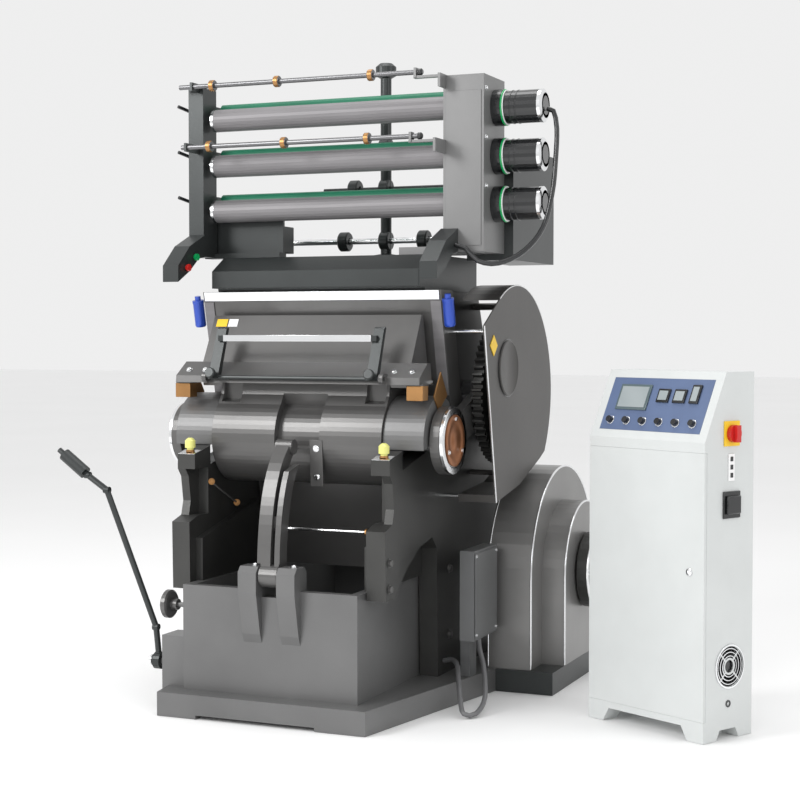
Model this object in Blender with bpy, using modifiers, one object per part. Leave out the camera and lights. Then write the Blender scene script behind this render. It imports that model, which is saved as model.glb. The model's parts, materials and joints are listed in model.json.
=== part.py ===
"""Hot-foil stamping and die cutting platen press with its free-standing control cabinet.

Frame: metres, +Z up, -Y towards the operator, +X to the operator's right.
The origin is on the underside of the base casting, on the press's middle plane.
"""
import math

import bmesh
import bpy
from mathutils import Matrix, Vector

# ---- driving dimensions -------------------------------------------------------------------
GAP = 0.0005                      # clearance between touching pieces
TILT = math.tan(math.radians(13)) # slope of the tracks and lean of the bed
BED_TOP = 1.337                   # height of the bed casting
BED_TOP_Y = -0.174                # front edge of the bed's top
BED_DEPTH = 0.10                  # thickness of the bed along Y
BED_HALF = 0.43                   # half width of the bed
DIE_GAP = 0.026                   # gap between bed face and platen face, along Y
FRAME_IN, FRAME_OUT = 0.308, 0.371     # side frame's inner and outer faces
TRACK_Y, TRACK_Z = -0.445, 0.812       # front end of the track on each side frame
TRUNNION = (-0.20, 0.862)         # Y, Z of the platen's trunnion axis
TRUNNION_R = 0.035
BARREL_R = 0.15
BLOCK_R = 0.14
GRIPPER_PIVOT = (-0.368, 1.058)   # Y, Z of the gripper's hinge on the platen
MAIN_SHAFT = (0.20, 1.00)         # Y, Z of the crank shaft
MAIN_SHAFT_R = 0.04
CRANK_R = 0.03
GEAR_MODULE = 0.008
GEAR_TEETH, PINION_TEETH = 58, 13
PINION = (0.4326, 0.837)          # Y, Z of the pinion shaft, one centre distance from the crank
FLYWHEEL = (0.52, 0.374)
FLYWHEEL_R = 0.288
FLANGE_TOP = 0.075                # top of the base flange
PLINTH_TOP = 0.408
PLINTH_HALF = 0.302
PLINTH_FRONT = -0.533
LINK_PIN = (-0.53, 0.452)
LEVER_PIN = (-0.45, 0.141)
HANDWHEEL = (-0.433, 0.324)
HEAD_TOP = 1.452
ROLLER_Y, ROLLER_R = -0.11, 0.0375
ROLLER_HEIGHTS = (1.915, 1.762, 1.610)
RUBBER_OFFSET = (0.055, 0.036)
RUBBER_R = 0.025
FOIL_SHAFTS = ((-0.20, 2.02), (-0.24, 1.815))
SHAFT_SPANS = ((-0.50, 0.365), (-0.47, 0.38))
SHAFT_COLLARS = ((-0.375, -0.135, 0.20), (-0.365, -0.09, 0.205))
START_BUTTON, STOP_BUTTON = (-0.236, 1.452), (-0.290, 1.415)
CABINET_CORNER = (0.894, -0.087)  # front left foot of the cabinet
CABINET_YAW = math.radians(-27.5)
CABINET_W, CABINET_D = 0.460, 0.222
CABINET_FRONT_TOP, CABINET_TOP = 0.881, 1.086
CONSOLE_DEPTH = 0.095             # how far the sloping console runs back
WALL = 0.012
SWITCH, FAN, FAN_R = (0.118, 0.905), (0.118, 0.215), 0.060    # on the cabinet's right side

ABOUT_X = (0.0, math.pi / 2, 0.0)                 # turns local Z to world X
SIDE_ON = (math.pi / 2, 0.0, math.pi / 2)         # turns a flat outline to stand in the Y-Z plane

# ---- colours: base colour, metallic, roughness ---------------------------------------------
FINISHES = {
    "grey_paint": ((0.18, 0.18, 0.18), 0.3, 0.42),
    "dark_paint": ((0.05, 0.06, 0.06), 0.2, 0.5),
    "cast_iron": ((0.13, 0.13, 0.13), 0.5, 0.5),
    "steel": ((0.72, 0.72, 0.72), 1.0, 0.25),
    "rubber_green": ((0.0, 0.18, 0.10), 0.0, 0.6),
    "black_plastic": ((0.015, 0.015, 0.015), 0.0, 0.4),
    "white_enamel": ((0.82, 0.84, 0.83), 0.0, 0.35),
    "console_blue": ((0.10, 0.16, 0.30), 0.0, 0.4),
    "red_plastic": ((0.5, 0.02, 0.02), 0.0, 0.35),
    "green_plastic": ((0.0, 0.35, 0.08), 0.0, 0.35),
    "grey_hose": ((0.16, 0.16, 0.16), 0.0, 0.55),
}


# ---- tools ---------------------------------------------------------------------------------
def clear_scene():
    for old in list(bpy.data.objects):
        bpy.data.objects.remove(old, do_unlink=True)


def collection(name):
    made = bpy.data.collections.new(name)
    bpy.context.scene.collection.children.link(made)
    return made


def material(finish):
    made = bpy.data.materials.get(finish)
    if made is None:
        colour, metallic, roughness = FINISHES[finish]
        made = bpy.data.materials.new(finish)
        made.use_nodes = True
        shader = made.node_tree.nodes["Principled BSDF"]
        shader.inputs["Base Color"].default_value = (*colour, 1.0)
        shader.inputs["Metallic"].default_value = metallic
        shader.inputs["Roughness"].default_value = roughness
        made.diffuse_color = (*colour, 1.0)
    return made


def place(name, data, finish, location=(0, 0, 0), rotation=(0, 0, 0), parent=None):
    """Puts mesh or curve data in the scene; without a finish it is a cutter or a joiner."""
    made = bpy.data.objects.new(name, data)
    made.location = location
    made.rotation_euler = rotation
    made.parent = parent
    if finish is None:
        CUTTERS.objects.link(made)
        made.hide_render = True
        made.display_type = "WIRE"
    else:
        PARTS.objects.link(made)
        made.data.materials.append(material(finish))
    return made


def smooth(mesh):
    mesh.shade_smooth()
    mesh.set_sharp_from_angle(angle=math.radians(35))


def block(name, low, high, finish=None, parent=None):
    low, high = Vector(low), Vector(high)
    shape = bmesh.new()
    bmesh.ops.create_cube(shape, size=1.0, matrix=Matrix.Diagonal((*(high - low), 1.0)))
    mesh = bpy.data.meshes.new(name)
    shape.to_mesh(mesh)
    shape.free()
    return place(name, mesh, finish, (low + high) / 2, parent=parent)


def rod(name, radius, start, end, finish=None, sides=24, parent=None):
    """A round bar from start to end."""
    start, end = Vector(start), Vector(end)
    shape = bmesh.new()
    bmesh.ops.create_cone(shape, cap_ends=True, segments=sides, radius1=radius, radius2=radius,
                          depth=(end - start).length)
    mesh = bpy.data.meshes.new(name)
    shape.to_mesh(mesh)
    shape.free()
    smooth(mesh)
    turn = (end - start).to_track_quat("Z", "Y").to_euler()
    return place(name, mesh, finish, (start + end) / 2, turn, parent)


def bar_x(name, radius, centre, low, high, finish=None, sides=24, parent=None):
    """A round bar along X, with centre as (Y, Z)."""
    return rod(name, radius, (low, *centre), (high, *centre), finish, sides, parent)


def to_mesh(made, finish):
    """Turns a curve object into a closed mesh object of the same name and place."""
    bpy.context.view_layer.update()
    name, where, parent = made.name, made.matrix_world.copy(), made.parent
    evaluated = made.evaluated_get(bpy.context.evaluated_depsgraph_get())
    mesh = bpy.data.meshes.new_from_object(evaluated)
    bpy.data.objects.remove(made, do_unlink=True)
    shape = bmesh.new()
    shape.from_mesh(mesh)
    bmesh.ops.remove_doubles(shape, verts=shape.verts, dist=0.00001)
    bmesh.ops.recalc_face_normals(shape, faces=shape.faces)
    shape.to_mesh(mesh)
    shape.free()
    mesh.materials.clear()
    mesh.name = name
    solid = place(name, mesh, finish)
    solid.parent = parent
    solid.matrix_world = where
    return solid


def flat(name, outline, thickness, location, rotation, finish=None, parent=None):
    """A plate with the given outline, centred on its own thickness."""
    curve = bpy.data.curves.new(name, "CURVE")
    curve.dimensions = "2D"
    curve.fill_mode = "BOTH"
    curve.extrude = thickness / 2
    spline = curve.splines.new("POLY")
    spline.points.add(len(outline) - 1)
    for point, (u, v) in zip(spline.points, outline):
        point.co = (u, v, 0.0, 1.0)
    spline.use_cyclic_u = True
    return to_mesh(place(name, curve, finish, location, rotation, parent), finish)


def side_plate(name, outline, low, high, finish=None, parent=None):
    """A plate with a (Y, Z) outline between two X positions."""
    return flat(name, outline, high - low, ((low + high) / 2, 0, 0), SIDE_ON, finish, parent)


def turned_x(name, profile, centre, finish=None, steps=32, parent=None):
    """A turned piece on an axis along X through centre (Y, Z); the profile runs as (X, radius)."""
    mesh = bpy.data.meshes.new(name)
    points = [(radius, 0.0, x) for x, radius in profile]
    edges = [(i, i + 1) for i in range(len(points) - 1)]
    mesh.from_pydata(points, edges, [])
    made = place(name, mesh, finish, (0, *centre), ABOUT_X, parent)
    screw = made.modifiers.new("turn", "SCREW")
    screw.axis = "Z"
    screw.steps = steps
    screw.render_steps = steps
    screw.use_merge_vertices = True
    screw.merge_threshold = 0.00005
    screw.use_smooth_shade = True
    return made


def tube(name, radius, route, finish, resolution=2, parent=None):
    """A round tube along the points of a route."""
    curve = bpy.data.curves.new(name, "CURVE")
    curve.dimensions = "3D"
    curve.bevel_depth = radius
    curve.bevel_resolution = resolution
    curve.use_fill_caps = True
    spline = curve.splines.new("POLY")
    spline.points.add(len(route) - 1)
    for point, where in zip(spline.points, route):
        point.co = (*where, 1.0)
    return place(name, curve, finish, parent=parent)


def smooth_route(points, step):
    """Points every step or so along a Catmull-Rom curve through the given points."""
    points = [Vector(p) for p in points]
    ends = [2 * points[0] - points[1]] + points + [2 * points[-1] - points[-2]]
    route = []
    for before, start, end, after in zip(ends, ends[1:], ends[2:], ends[3:]):
        parts = max(1, round((end - start).length / step))
        for i in range(parts):
            t = i / parts
            route.append(0.5 * (2 * start + (end - before) * t
                                + (2 * before - 5 * start + 4 * end - after) * t ** 2
                                + (3 * start - before - 3 * end + after) * t ** 3))
    return route + [points[-1]]


def combine(made, tools, operation):
    for tool in tools:
        modifier = made.modifiers.new(tool.name, "BOOLEAN")
        modifier.operation = operation
        modifier.solver = "EXACT"
        modifier.object = tool
    return made


def cut(made, *tools):
    return combine(made, tools, "DIFFERENCE")


def join(made, *tools):
    return combine(made, tools, "UNION")


def arc(centre, radius, start, end, parts):
    """Points on a circle from one angle to another, in degrees."""
    angles = [math.radians(start + (end - start) * i / parts) for i in range(parts + 1)]
    return [(centre[0] + radius * math.cos(a), centre[1] + radius * math.sin(a)) for a in angles]


def circle(centre, radius, parts=32):
    return arc(centre, radius, 0, 360 - 360 / parts, parts - 1)


def capsule(first, radius_first, second, radius_second, parts=14):
    """The outline of a strap that wraps two round eyes."""
    run = Vector(second) - Vector(first)
    lean = math.degrees(math.asin((radius_first - radius_second) / run.length))
    heading = math.degrees(math.atan2(run.y, run.x))
    return (arc(first, radius_first, heading + 90 - lean, heading + 270 + lean, parts)
            + arc(second, radius_second, heading - 90 + lean, heading + 90 - lean, parts))


def inset(outline, distance):
    """The outline moved inwards; its points run clockwise."""
    moved = []
    for before, here, after in zip(outline[-1:] + outline[:-1], outline, outline[1:] + outline[:1]):
        into = (Vector(here) - Vector(before)).normalized()
        out = (Vector(after) - Vector(here)).normalized()
        left = Vector((into.y, -into.x)) + Vector((out.y, -out.x))
        moved.append(tuple(Vector(here) + left * (distance / (1.0 + into.dot(out)))))
    return moved


def bed_face(z, offset=0.0):
    """A point of the leaning bed face, or of a plane parallel to it."""
    return (BED_TOP_Y + (BED_TOP - z) * TILT + offset, z)


def track(y, offset=0.0):
    """A point of the sloping track."""
    return (y, TRACK_Z + (y - TRACK_Y) * TILT + offset)


def mirrored(side, low, high):
    """An X range on the left (-1) or the right (+1) of the press."""
    return (low, high) if side > 0 else (-high, -low)


# ---- base and frames -----------------------------------------------------------------------
def base_casting():
    outline = [(-0.358, -0.602), (0.358, -0.602), (0.50, 0.15), (0.50, 0.62), (-0.50, 0.62), (-0.50, 0.15)]
    base = flat("base_casting", outline, FLANGE_TOP, (0, 0, FLANGE_TOP / 2), (0, 0, 0), "grey_paint")
    join(base, block("plinth", (-PLINTH_HALF, PLINTH_FRONT, 0.05), (PLINTH_HALF, 0.56, PLINTH_TOP)))
    cut(base, block("well", (-0.272, -0.503, FLANGE_TOP), (0.272, 0.53, 0.6)),
        block("link_notch", (-0.022, -0.60, 0.385), (0.047, -0.47, 0.6)),
        block("foot_recess", (-0.22, -0.7, -0.1), (0.19, -0.45, 0.012)))
    rib = [(-0.515, 0.20), (-0.545, 0.27), (-0.572, 0.40), (-0.572, 0.464), (-0.556, 0.482),
           (-0.505, 0.482), (-0.488, 0.464), (-0.488, 0.38), (-0.515, 0.36)]
    join(base, side_plate("rib_left", rib, -0.085, -0.0225), side_plate("rib_right", rib, 0.0475, 0.11),
         bar_x("link_pin", 0.016, LINK_PIN, -0.07, 0.095),
         block("lever_lug", (-0.40, -0.50, 0.06), (-0.295, -0.40, 0.235)),
         bar_x("lever_pin", 0.012, LEVER_PIN, -0.462, -0.39, sides=20),
         bar_x("handwheel_stub", 0.008, HANDWHEEL, -0.415, -0.29, sides=16))


def frame_outline():
    rear = BED_DEPTH + GAP
    return [track(TRACK_Y), (-0.445, 0.765), (-0.425, 0.74), (-0.412, 0.66), (-0.425, 0.615),
            (-0.482, 0.598), (-0.478, 0.385), (-0.40, 0.385), (-0.355, 0.43), (-0.31, 0.465),
            (-0.202, 0.52), (-0.10, 0.54), (-0.06, 0.50), (-0.05, FLANGE_TOP + GAP),
            (0.58, FLANGE_TOP + GAP), (0.58, 0.48), (0.50, 0.75), (0.46, 1.0), (0.32, BED_TOP),
            bed_face(BED_TOP, rear), bed_face(0.93 - GAP, rear), bed_face(0.93 - GAP), track(-0.08)]


def side_frame(name, side):
    low, high = mirrored(side, FRAME_IN, FRAME_OUT)
    frame = side_plate(name, frame_outline(), low, high, "cast_iron")
    pocket = mirrored(side, 0.2, 0.343)
    slot = [track(-0.345, -0.06), track(-0.15, -0.06), track(-0.15, 0.05), track(-0.345, 0.05)]
    rail = [(-0.44, PLINTH_TOP + GAP), (-0.44, 0.545), (-0.06, 0.633), (-0.06, PLINTH_TOP + GAP)]
    rail_x = mirrored(side, 0.284, FRAME_IN + 0.01)
    bed_room = [bed_face(0.35, -0.001), bed_face(0.70, -0.001), (0.3, 0.70), (0.3, 0.35)]
    join(frame, cut(side_plate(name + "_rail", rail, *rail_x),
                    side_plate(name + "_rail_end", bed_room, *mirrored(side, 0.25, 0.35))))
    cut(frame, side_plate(name + "_slot", slot, *mirrored(side, 0.29, 0.39)),
        block(name + "_waist", (pocket[0], -0.5, 0.615), (pocket[1], -0.36, 0.765)),
        bar_x(name + "_main_bore", MAIN_SHAFT_R + GAP, MAIN_SHAFT, *mirrored(side, 0.29, 0.39)))
    if side > 0:
        cut(frame, bar_x("flywheel_bore", 0.025 + GAP, FLYWHEEL, 0.29, 0.39, sides=20),
            bar_x("pinion_bore", 0.018 + GAP, PINION, 0.29, 0.39, sides=16))


def bed():
    def slab(low, high):
        return [bed_face(high), bed_face(low), bed_face(low, BED_DEPTH), bed_face(high, BED_DEPTH)]
    casting = side_plate("bed_casting", slab(0.93, BED_TOP), -BED_HALF, BED_HALF, "cast_iron")
    join(casting, side_plate("bed_foot", slab(PLINTH_TOP + GAP, 0.95), -0.30, 0.30))
    thick = 0.018
    plate = [bed_face(1.235, -thick), bed_face(0.80, -thick), bed_face(0.80, -GAP), bed_face(1.235, -GAP)]
    side_plate("hot_plate", plate, -0.295, 0.295, "steel")


def head_beam():
    outline = [(-0.212, 1.3475), (-0.212, 1.404), (-0.13, HEAD_TOP), (0.30, HEAD_TOP),
               (0.30, BED_TOP + GAP), (-0.168, BED_TOP + GAP), (-0.172, 1.3475)]
    side_plate("head_beam", outline, -0.374, 0.374, "dark_paint")


# ---- platen and its drive --------------------------------------------------------------------
def trunnion():
    profile = [(0.487, 0.0), (0.487, 0.085), (0.4757, 0.085), (0.4757, TRUNNION_R), (-0.4757, TRUNNION_R),
               (-0.4757, 0.085), (-0.487, 0.085), (-0.487, 0.0)]
    turned_x("trunnion_shaft", profile, TRUNNION, "steel")


def slide_block(name, side):
    low, high = mirrored(side, 0.302, 0.438)
    outline = arc(TRUNNION, BLOCK_R, 14, 194, 32)
    made = side_plate(name, outline, low, high, "grey_paint")
    behind = [bed_face(0.7, -DIE_GAP - 0.001), bed_face(1.3, -DIE_GAP - 0.001), (0.3, 1.3), (0.3, 0.7)]
    below = [track(-0.6, GAP), track(0.2, GAP), (0.2, 0.5), (-0.6, 0.5)]
    cut(made, side_plate(name + "_behind", behind, low - 0.01, high + 0.01),
        side_plate(name + "_below", below, low - 0.01, high + 0.01),
        bar_x(name + "_bore", TRUNNION_R + GAP, TRUNNION, low - 0.01, high + 0.01, sides=32))


def platen():
    def face(z):
        return bed_face(z, -DIE_GAP)
    back = [(-0.194, 1.258), (-0.285, 1.091), (-0.275, 1.03), (-0.245, 0.95), (-0.05, 0.95), (-0.05, 1.258)]
    casting = side_plate("platen_casting", back, -0.372, 0.372, "grey_paint")
    lower = [(-0.25, 0.98), (-0.22, 0.752), (-0.10, 0.779), (-0.02, 0.779), (-0.04, 0.98)]
    swell = [(-0.3065, 0.966), (-0.284, 1.001), (-0.276, 1.045), (-0.20, 1.045), (-0.20, 0.90)]
    ledge = [(-0.355, 1.040), (-0.352, 1.062), (-0.286, 1.106), (-0.262, 1.106), (-0.25, 1.040)]
    guide = [(-0.343, 0.992), (-0.343, 1.045), (-0.300, 1.045), (-0.300, 0.992)]
    lug_outline = [(-0.335, 1.045)] + arc(GRIPPER_PIVOT, 0.016, 285, 75, 9) + [(-0.335, 1.072)]
    shoulder = [(-0.5, 0.5), (-0.5, 1.028), (0.0, 1.028), (0.0, 0.5)]
    for side, label in ((-1, "left"), (1, "right")):
        cut(casting, side_plate("shoulder_" + label, shoulder, *mirrored(side, 0.30, 0.5)))
    join(casting, side_plate("barrel", circle(TRUNNION, BARREL_R, 64), -0.30, 0.30),
         side_plate("barrel_shoulder", swell, -0.2995, 0.2995),
         side_plate("lower_rib", lower, -0.27, 0.27), side_plate("ledge", ledge, -0.43, 0.43))
    for side, label in ((-1, "left"), (1, "right")):
        join(casting, side_plate("guide_" + label, guide, *mirrored(side, 0.384, 0.436)))
        lug = side_plate("gripper_lug_" + label, lug_outline, *mirrored(side, 0.304, 0.318))
        join(casting, lug)
    behind = [face(0.5), face(1.4), (0.3, 1.4), (0.3, 0.5)]
    notch = arc(TRUNNION, BARREL_R - 0.028, 120, 190, 10) + arc(TRUNNION, BARREL_R + 0.05, 190, 120, 4)
    cut(casting, side_plate("beyond_face", behind, -0.5, 0.5),
        bar_x("trunnion_bore", TRUNNION_R + GAP, TRUNNION, -0.5, 0.5, sides=32),
        side_plate("link_recess", notch, -0.072, 0.086))
    for side, label in ((-1, "left"), (1, "right")):
        slot = [(-0.40, 0.955), (-0.40, 1.039), (-0.262, 1.039), (-0.262, 0.985)]
        cut(casting, side_plate("gripper_slot_" + label, slot, *mirrored(side, 0.222, 0.290)))
    cut(casting, bar_x("gripper_bore", 0.0075 + GAP, GRIPPER_PIVOT, -0.33, 0.33, sides=12))


def gripper_frame():
    """Two arms and a bar that hold the sheet, hinged in front of the ledge."""
    frame = bar_x("gripper_frame", 0.0075, GRIPPER_PIVOT, -0.314, 0.314, "dark_paint", sides=12)
    arm = [(-0.379, 1.054), (-0.3575, 1.052), (-0.300, 1.212), (-0.306, 1.218), (-0.316, 1.214)]
    for side, label in ((-1, "left"), (1, "right")):
        join(frame, side_plate("gripper_arm_" + label, arm, *mirrored(side, 0.262, 0.296)))
    bar = [(-0.340, 1.174), (-0.340, 1.192), (-0.326, 1.192), (-0.326, 1.174)]
    join(frame, side_plate("gripper_bar", bar, -0.28, 0.28))


def draw_arm(name, side):
    """A strap from the trunnion to an open ring that clears the crank shaft."""
    low, high = mirrored(side, 0.445, 0.475)
    run = (Vector(MAIN_SHAFT) - Vector(TRUNNION)).normalized()
    ring = tuple(Vector(MAIN_SHAFT) + run * CRANK_R)
    arm = side_plate(name, capsule(TRUNNION, 0.052, ring, 0.052), low, high, "cast_iron")
    join(arm, bar_x(name + "_front", 0.1075, TRUNNION, low, high, sides=40),
         bar_x(name + "_rear", 0.10, ring, low, high, sides=40))
    cut(arm, bar_x(name + "_eye", TRUNNION_R + GAP, TRUNNION, low - 0.01, high + 0.01, sides=32),
        bar_x(name + "_ring", MAIN_SHAFT_R + CRANK_R + 0.004, ring, low - 0.01, high + 0.01, sides=32))


def gear_outline(centre, teeth):
    """Straight-sided teeth with a little backlash."""
    pitch = GEAR_MODULE * teeth / 2
    step = 2 * math.pi / teeth
    outline = []
    for i in range(teeth):
        for share, radius in ((-0.28, -0.0095), (-0.13, 0.0065), (0.13, 0.0065), (0.28, -0.0095)):
            angle = step * (i + share) + math.atan2(PINION[1] - MAIN_SHAFT[1], PINION[0] - MAIN_SHAFT[0])
            reach = pitch + radius
            outline.append((centre[0] + reach * math.cos(angle), centre[1] + reach * math.sin(angle)))
    return outline


def crank_train():
    profile = [(0.530, 0.0), (0.530, 0.028), (0.4805, 0.028), (0.4795, MAIN_SHAFT_R), (-0.481, MAIN_SHAFT_R),
               (-0.481, 0.10), (-0.512, 0.10), (-0.512, 0.0)]
    turned_x("main_shaft", profile, MAIN_SHAFT, "steel", steps=28)
    gear = side_plate("crank_gear", gear_outline(MAIN_SHAFT, GEAR_TEETH), 0.4815, 0.515, "cast_iron")
    cut(gear, bar_x("gear_bore", 0.028 + GAP, MAIN_SHAFT, 0.46, 0.53, sides=28))
    for i in range(5):
        angle = math.radians(72 * i + 20)
        centre = (MAIN_SHAFT[0] + 0.14 * math.cos(angle), MAIN_SHAFT[1] + 0.14 * math.sin(angle))
        cut(gear, bar_x("gear_window_%d" % (i + 1), 0.05, centre, 0.46, 0.53, sides=20))
    pinion = bar_x("pinion_shaft", 0.018, PINION, 0.28, 0.53, "steel", sides=16)
    join(pinion, side_plate("pinion", gear_outline(PINION, PINION_TEETH), 0.4815, 0.515))


def gear_cover():
    outline = ([(-0.134, 1.222)] + arc(MAIN_SHAFT, 0.36, 120, -36, 28)
               + [(0.436, 0.765), (0.222, 0.692), (-0.018, 0.651)])
    hollow = inset(outline, 0.003)
    hollow = [(-0.30, 1.219)] + hollow[1:-1] + [(-0.30, 0.654)]
    cover = side_plate("gear_cover", outline, 0.4305, 0.56, "dark_paint")
    cut(cover, side_plate("gear_space", hollow, 0.42, 0.556))
    join(cover, bar_x("upper_stud", 0.012, (0.29, 1.29), FRAME_OUT + GAP, 0.558, sides=12),
         bar_x("lower_stud", 0.009, (0.25, 0.725), FRAME_OUT + GAP, 0.558, sides=12))


def rocker_link():
    """A curved link on the base pin that steadies the platen from below."""
    front = smooth_route([(-0.549, 0.47, 0), (-0.544, 0.55, 0), (-0.530, 0.64, 0), (-0.506, 0.72, 0),
                          (-0.466, 0.795, 0), (-0.408, 0.855, 0)], 0.03)
    rear = smooth_route([(-0.378, 0.829, 0), (-0.428, 0.768, 0), (-0.462, 0.70, 0), (-0.484, 0.62, 0),
                         (-0.496, 0.54, 0), (-0.500, 0.46, 0)], 0.03)
    outline = [(p.x, p.y) for p in front + rear]
    link = side_plate("rocker_link", outline, -0.030, 0.015, "cast_iron")
    join(link, bar_x("link_eye", 0.036, LINK_PIN, -0.018, 0.043, sides=28))
    second = [(y + 0.002, z) for y, z in outline if z < 0.79]
    join(link, side_plate("second_strap", second, 0.028, 0.046),
         block("strap_tie", (0.005, -0.520, 0.60), (0.034, -0.495, 0.635)),
         bar_x("link_head", 0.024, (-0.393, 0.842), -0.036, 0.021, sides=20))
    cut(link, block("link_foot_left", (-0.06, -0.62, 0.36), (-0.018, -0.40, 0.491)),
        block("link_foot_right", (0.043, -0.62, 0.36), (0.08, -0.40, 0.491)),
        bar_x("link_bore", 0.016 + GAP, LINK_PIN, -0.05, 0.08, sides=24))


# ---- controls on the base ---------------------------------------------------------------------
def base_controls():
    lever = bar_x("hand_lever", 0.028, LEVER_PIN, -0.452, -0.428, "dark_paint", sides=20)
    route = [(-0.44, -0.452, 0.15), (-0.447, -0.458, 0.25), (-0.603, -0.50, 0.692), (-0.676, -0.50, 0.738),
             (-0.70, -0.50, 0.755)]
    for i, (start, end) in enumerate(zip(route, route[1:])):
        join(lever, rod("lever_rod_%d" % (i + 1), 0.010, start, end, sides=12))
    for i, point in enumerate(route[1:-1]):
        knuckle = bar_x("lever_knuckle_%d" % (i + 1), 0.011, point[1:], point[0] - 0.010, point[0] + 0.010)
        join(lever, knuckle)
    grip_start, grip_end = Vector((-0.685, -0.50, 0.745)), Vector((-0.765, -0.50, 0.803))
    join(lever, rod("lever_grip", 0.021, grip_start, grip_end, sides=16),
         rod("lever_tip", 0.009, grip_end - (grip_end - grip_start) * 0.1,
             grip_end + (grip_end - grip_start) * 0.25, sides=12))
    cut(lever, bar_x("lever_bore", 0.012 + GAP, LEVER_PIN, -0.48, -0.40, sides=20))
    profile = [(-0.378, 0.0), (-0.378, 0.018), (-0.400, 0.018), (-0.400, 0.040), (-0.405, 0.046),
               (-0.419, 0.046), (-0.424, 0.040), (-0.424, 0.020), (-0.430, 0.012), (-0.430, 0.0)]
    wheel = turned_x("handwheel", profile, HANDWHEEL, "cast_iron", 24)
    cut(wheel, bar_x("handwheel_bore", 0.0085, HANDWHEEL, -0.418, -0.37, sides=16))


# ---- foil feed above the head -------------------------------------------------------------------
def foil_column_left():
    column = block("foil_column_left", (-0.489, -0.163, 1.456), (-0.433, -0.073, 2.022), "dark_paint")
    join(column, block("column_foot", (-0.470, -0.090, HEAD_TOP + GAP), (-0.185, -0.040, 1.470)),
         block("column_back", (-0.461, -0.062, 1.455), (-0.185, -0.050, 1.581)))
    for i, z in enumerate(ROLLER_HEIGHTS):
        y_rubber, z_rubber = ROLLER_Y + RUBBER_OFFSET[0], z + RUBBER_OFFSET[1]
        join(column, block("rubber_bracket_%d" % (i + 1), (-0.449, -0.10, z_rubber - 0.018),
                           (-0.434, y_rubber + 0.018, z_rubber + 0.018)))
        cut(column, bar_x("roller_bore_%d" % (i + 1), 0.0105, (ROLLER_Y, z), -0.46, -0.42, sides=16),
            bar_x("rubber_bore_%d" % (i + 1), 0.0065, (y_rubber, z_rubber), -0.46, -0.42, sides=12))
    for i, (y, z) in enumerate(FOIL_SHAFTS):
        join(column, block("shaft_arm_%d" % (i + 1), (-0.455, y - 0.013, z - 0.014), (-0.447, -0.15, z + 0.014)))
        cut(column, bar_x("shaft_eye_%d" % (i + 1), 0.0085, (y, z), -0.48, -0.43, sides=16))


def foil_gearbox_right():
    box = block("foil_gearbox_right", (0.433, -0.163, 1.456), (0.569, 0.030, 2.01), "grey_paint")
    join(box, block("gearbox_foot", (0.25, -0.09, HEAD_TOP + GAP), (0.45, 0.02, 1.478)))
    for i, z in enumerate(ROLLER_HEIGHTS):
        rubber = (ROLLER_Y + RUBBER_OFFSET[0], z + RUBBER_OFFSET[1])
        cut(box, bar_x("drive_bore_%d" % (i + 1), 0.0105, (ROLLER_Y, z), 0.42, 0.465, sides=16),
            bar_x("pressure_bore_%d" % (i + 1), 0.0065, rubber, 0.42, 0.465, sides=12))
    for i, (y, z) in enumerate(FOIL_SHAFTS):
        join(box, block("end_web_%d" % (i + 1), (0.434, y - 0.014, z - 0.050), (0.4425, -0.150, z - 0.008)),
             block("end_rail_%d" % (i + 1), (0.350, y - 0.010, z - 0.020), (0.438, y + 0.010, z - 0.012)),
             block("end_arm_%d" % (i + 1), (0.352, y - 0.013, z - 0.018), (0.360, y + 0.013, z + 0.013)))
        cut(box, bar_x("end_eye_%d" % (i + 1), 0.0085, (y, z), 0.34, 0.38, sides=16))


def foil_rollers():
    for i, z in enumerate(ROLLER_HEIGHTS):
        rubber = (ROLLER_Y + RUBBER_OFFSET[0], z + RUBBER_OFFSET[1])
        profile = [(0.455, 0.0), (0.455, 0.010), (0.430, 0.010), (0.430, ROLLER_R), (-0.416, ROLLER_R),
                   (-0.416, 0.010), (-0.455, 0.010), (-0.455, 0.0)]
        turned_x("feed_roller_%d" % (i + 1), profile, (ROLLER_Y, z), "steel", steps=24)
        profile = [(0.455, 0.0), (0.455, 0.006), (0.428, 0.006), (0.428, RUBBER_R), (-0.414, RUBBER_R),
                   (-0.414, 0.006), (-0.4475, 0.006), (-0.4475, 0.0)]
        turned_x("rubber_roller_%d" % (i + 1), profile, rubber, "rubber_green", steps=20)
        lever = rod("pressure_lever_%d" % (i + 1), 0.009, (-0.4895 - GAP, ROLLER_Y, z + 0.03),
                    (-0.503, ROLLER_Y, z + 0.03), "black_plastic", sides=14)
        join(lever, rod("lever_stem_%d" % (i + 1), 0.006, (-0.497, ROLLER_Y, z + 0.03),
                        (-0.523, ROLLER_Y - 0.062, z + 0.047), sides=10))


def foil_shafts():
    for i, ((y, z), (low, high), collars) in enumerate(zip(FOIL_SHAFTS, SHAFT_SPANS, SHAFT_COLLARS)):
        profile = [(high, 0.0), (high, 0.008)]
        for x in sorted(collars, reverse=True):
            profile += [(x + 0.009, 0.008), (x + 0.009, 0.017), (x - 0.009, 0.017), (x - 0.009, 0.008)]
        profile += [(low, 0.008), (low, 0.0)]
        turned_x("foil_shaft_%d" % (i + 1), profile, (y, z), "steel", steps=16)


def foil_motors():
    for i, z in enumerate(ROLLER_HEIGHTS):
        profile = [(0.735, 0.0), (0.735, 0.040), (0.722, 0.045), (0.722, 0.052), (0.600, 0.052), (0.600, 0.058),
                   (0.5695, 0.058), (0.5695, 0.0)]
        turned_x("foil_motor_%d" % (i + 1), profile, (-0.05, z), "black_plastic", steps=28)


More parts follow.
